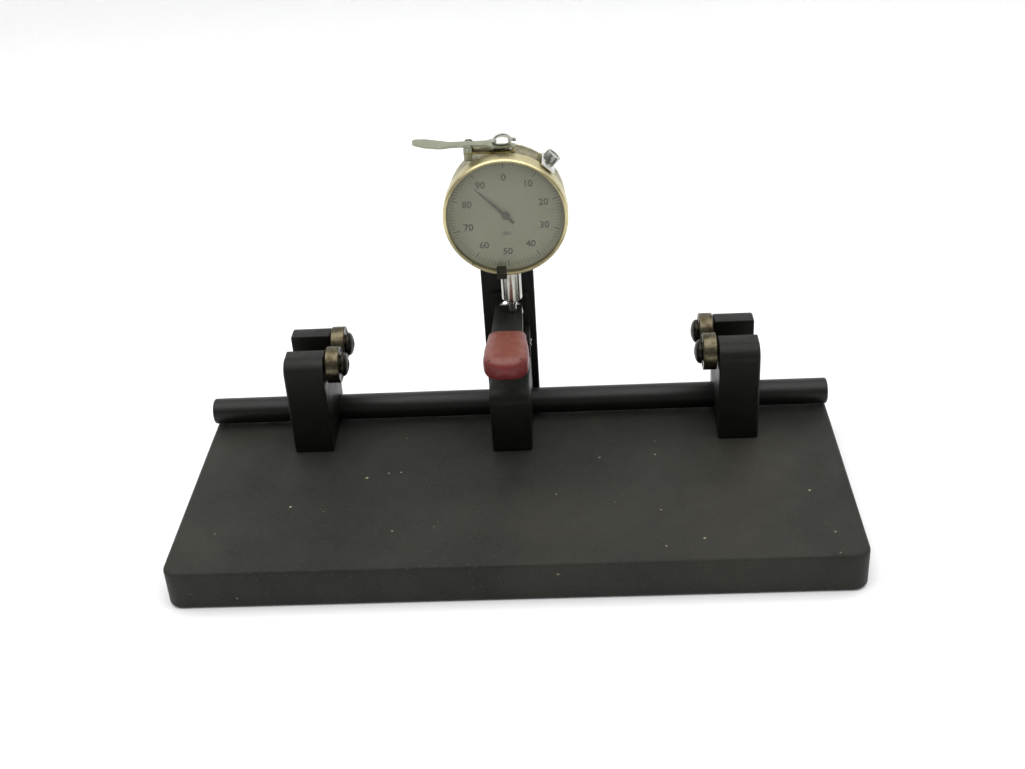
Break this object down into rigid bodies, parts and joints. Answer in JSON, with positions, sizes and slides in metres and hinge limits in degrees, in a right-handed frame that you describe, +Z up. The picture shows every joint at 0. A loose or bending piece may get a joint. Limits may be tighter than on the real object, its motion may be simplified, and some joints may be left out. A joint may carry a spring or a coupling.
{
  "type": "arrow shaft straightener with dial indicator",
  "caption": "Bench straightener for arrow shafts: flat base, rail with sliding roller blocks, press lever and dial indicator on a post.",
  "frame": {"origin": "centre of the base plate's underside", "axes": "+X along the rail to the right, +Y towards the post, +Z up"},
  "size_m": [0.3048, 0.144, 0.1695],
  "materials": {
    "base_black": "matte charcoal",
    "satin_black": "satin black",
    "black_oxide": "black oxide on steel",
    "bearing_steel": "ground and polished",
    "bright_steel": "polished",
    "steel": "nickel plated, dulled",
    "brass": "dulled brass",
    "red_vinyl": "dipped vinyl, dusty",
    "dial_face": "grey-beige with dark numerals",
    "pointer_black": "matte black",
    "crystal": "clear, slightly hazy"
  },
  "bodies": {
    "stand": {"base_plate": "base_black", "rail_rod": "satin_black", "centre_block": "satin_black", "block_screw_front": "black_oxide", "block_screw_back": "black_oxide", "rail_set_screw": "black_oxide", "post_bar": "satin_black", "post_screw_lower": "black_oxide", "post_screw_upper": "black_oxide", "lever_bracket": "satin_black", "bracket_screw": "bright_steel", "bracket_nut": "steel", "lever_pivot_pin": "steel", "dial_bracket": "satin_black", "dial_bracket_screw": "black_oxide", "lug_bolt": "black_oxide", "dial_case": "brass", "dial_back": "brass", "movement_plate": "brass", "stem": "steel", "top_bushing": "brass", "lifter_bracket": "brass", "lifter_pin": "steel", "clamp_plate": "bright_steel", "return_spring": "steel"},
    "lever": {"press_lever": "satin_black", "lever_grip": "red_vinyl"},
    "spindle": {"spindle": "steel", "contact_point": "steel", "spindle_cap": "steel"},
    "lifting_lever": {"lifting_lever": "steel"},
    "rack_gear": {"rack_gear": "brass"},
    "pointer": {"pointer": "pointer_black", "centre_pinion": "brass"},
    "bezel": {"bezel": "brass", "crystal": "crystal", "dial_face": "dial_face", "limit_clip": "black_oxide"},
    "clamp_thumb_screw": {"clamp_thumb_screw": "steel"},
    "end_block_left": {"end_block_left": "satin_black", "clamp_screw_left": "black_oxide", "roller_inner_ring_left_front": "bearing_steel", "roller_screw_left_front": "black_oxide", "roller_inner_ring_left_back": "bearing_steel", "roller_screw_left_back": "black_oxide"},
    "roller_left_front": {"roller_outer_ring_left_front": "bearing_steel"},
    "ball_cage_left_front": {"ball_cage_left_front": "bearing_steel"},
    "roller_left_back": {"roller_outer_ring_left_back": "bearing_steel"},
    "ball_cage_left_back": {"ball_cage_left_back": "bearing_steel"},
    "end_block_right": {"end_block_right": "satin_black", "clamp_screw_right": "black_oxide", "roller_inner_ring_right_front": "bearing_steel", "roller_screw_right_front": "black_oxide", "roller_inner_ring_right_back": "bearing_steel", "roller_screw_right_back": "black_oxide"},
    "roller_right_front": {"roller_outer_ring_right_front": "bearing_steel"},
    "ball_cage_right_front": {"ball_cage_right_front": "bearing_steel"},
    "roller_right_back": {"roller_outer_ring_right_back": "bearing_steel"},
    "ball_cage_right_back": {"ball_cage_right_back": "bearing_steel"}
  },
  "joints": [
    {"name": "end_block_left_slide", "type": "slide", "parent": "stand", "child": "end_block_left", "axis": [1, 0, 0], "range_m": [-0.044, 0.055]},
    {"name": "end_block_right_slide", "type": "slide", "parent": "stand", "child": "end_block_right", "axis": [1, 0, 0], "range_m": [-0.06, 0.0365]},
    {"name": "roller_left_front_spin", "type": "hinge", "parent": "end_block_left", "child": "roller_left_front", "pos_m": [-0.0849, 0.0324, 0.0619], "axis": [1, 0, 0], "continuous": true},
    {"name": "ball_cage_left_front_spin", "type": "hinge", "parent": "end_block_left", "child": "ball_cage_left_front", "pos_m": [-0.0849, 0.0324, 0.0619], "axis": [1, 0, 0], "continuous": true},
    {"name": "roller_left_back_spin", "type": "hinge", "parent": "end_block_left", "child": "roller_left_back", "pos_m": [-0.0849, 0.0522, 0.0619], "axis": [1, 0, 0], "continuous": true},
    {"name": "ball_cage_left_back_spin", "type": "hinge", "parent": "end_block_left", "child": "ball_cage_left_back", "pos_m": [-0.0849, 0.0522, 0.0619], "axis": [1, 0, 0], "continuous": true},
    {"name": "roller_right_front_spin", "type": "hinge", "parent": "end_block_right", "child": "roller_right_front", "pos_m": [0.0926, 0.0324, 0.0619], "axis": [1, 0, 0], "continuous": true},
    {"name": "ball_cage_right_front_spin", "type": "hinge", "parent": "end_block_right", "child": "ball_cage_right_front", "pos_m": [0.0926, 0.0324, 0.0619], "axis": [1, 0, 0], "continuous": true},
    {"name": "roller_right_back_spin", "type": "hinge", "parent": "end_block_right", "child": "roller_right_back", "pos_m": [0.0926, 0.0522, 0.0619], "axis": [1, 0, 0], "continuous": true},
    {"name": "ball_cage_right_back_spin", "type": "hinge", "parent": "end_block_right", "child": "ball_cage_right_back", "pos_m": [0.0926, 0.0522, 0.0619], "axis": [1, 0, 0], "continuous": true},
    {"name": "press_lever_hinge", "type": "hinge", "parent": "stand", "child": "lever", "pos_m": [-0.0011, 0.0546, 0.058], "axis": [1, 0, 0], "range_deg": [0, 12]},
    {"name": "spindle_travel", "type": "slide", "parent": "stand", "child": "spindle", "axis": [0, 0, 1], "range_m": [0, 0.00635], "stiffness_N_per_m": 60, "springref_m": -0.012, "deforming": ["return_spring"]},
    {"name": "lifting_lever_rock", "type": "hinge", "parent": "stand", "child": "lifting_lever", "pos_m": [-0.014, 0.0423, 0.1653], "axis": [0, -1, 0], "range_deg": [0, 20]},
    {"name": "rack_gear_turn", "type": "hinge", "parent": "stand", "child": "rack_gear", "pos_m": [0.0071, 0.041, 0.1272], "axis": [0, 1, 0], "range_deg": [-125, 0]},
    {"name": "pointer_turn", "type": "hinge", "parent": "stand", "child": "pointer", "pos_m": [0.0012, 0.034, 0.1355], "axis": [0, 1, 0], "range_deg": [0, 905]},
    {"name": "bezel_turn", "type": "hinge", "parent": "stand", "child": "bezel", "pos_m": [0.0012, 0.032, 0.1355], "axis": [0, 1, 0], "range_deg": [-20, 180]},
    {"name": "clamp_screw_turn", "type": "hinge", "parent": "stand", "child": "clamp_thumb_screw", "pos_m": [0.02166, 0.0418, 0.15744], "axis": [0.682, 0, 0.7314], "range_deg": [0, 360]}
  ],
  "couplings": [
    {"joint": "ball_cage_left_front_spin", "follows": "roller_left_front_spin", "ratio": 0.6092},
    {"joint": "ball_cage_left_back_spin", "follows": "roller_left_back_spin", "ratio": 0.6092},
    {"joint": "ball_cage_right_front_spin", "follows": "roller_right_front_spin", "ratio": 0.6092},
    {"joint": "ball_cage_right_back_spin", "follows": "roller_right_back_spin", "ratio": 0.6092},
    {"joint": "lifting_lever_rock", "follows": "spindle_travel", "rad_per_m": 52.63},
    {"joint": "rack_gear_turn", "follows": "spindle_travel", "rad_per_m": -338.98},
    {"joint": "pointer_turn", "follows": "spindle_travel", "rad_per_m": 2473.7}
  ]
}
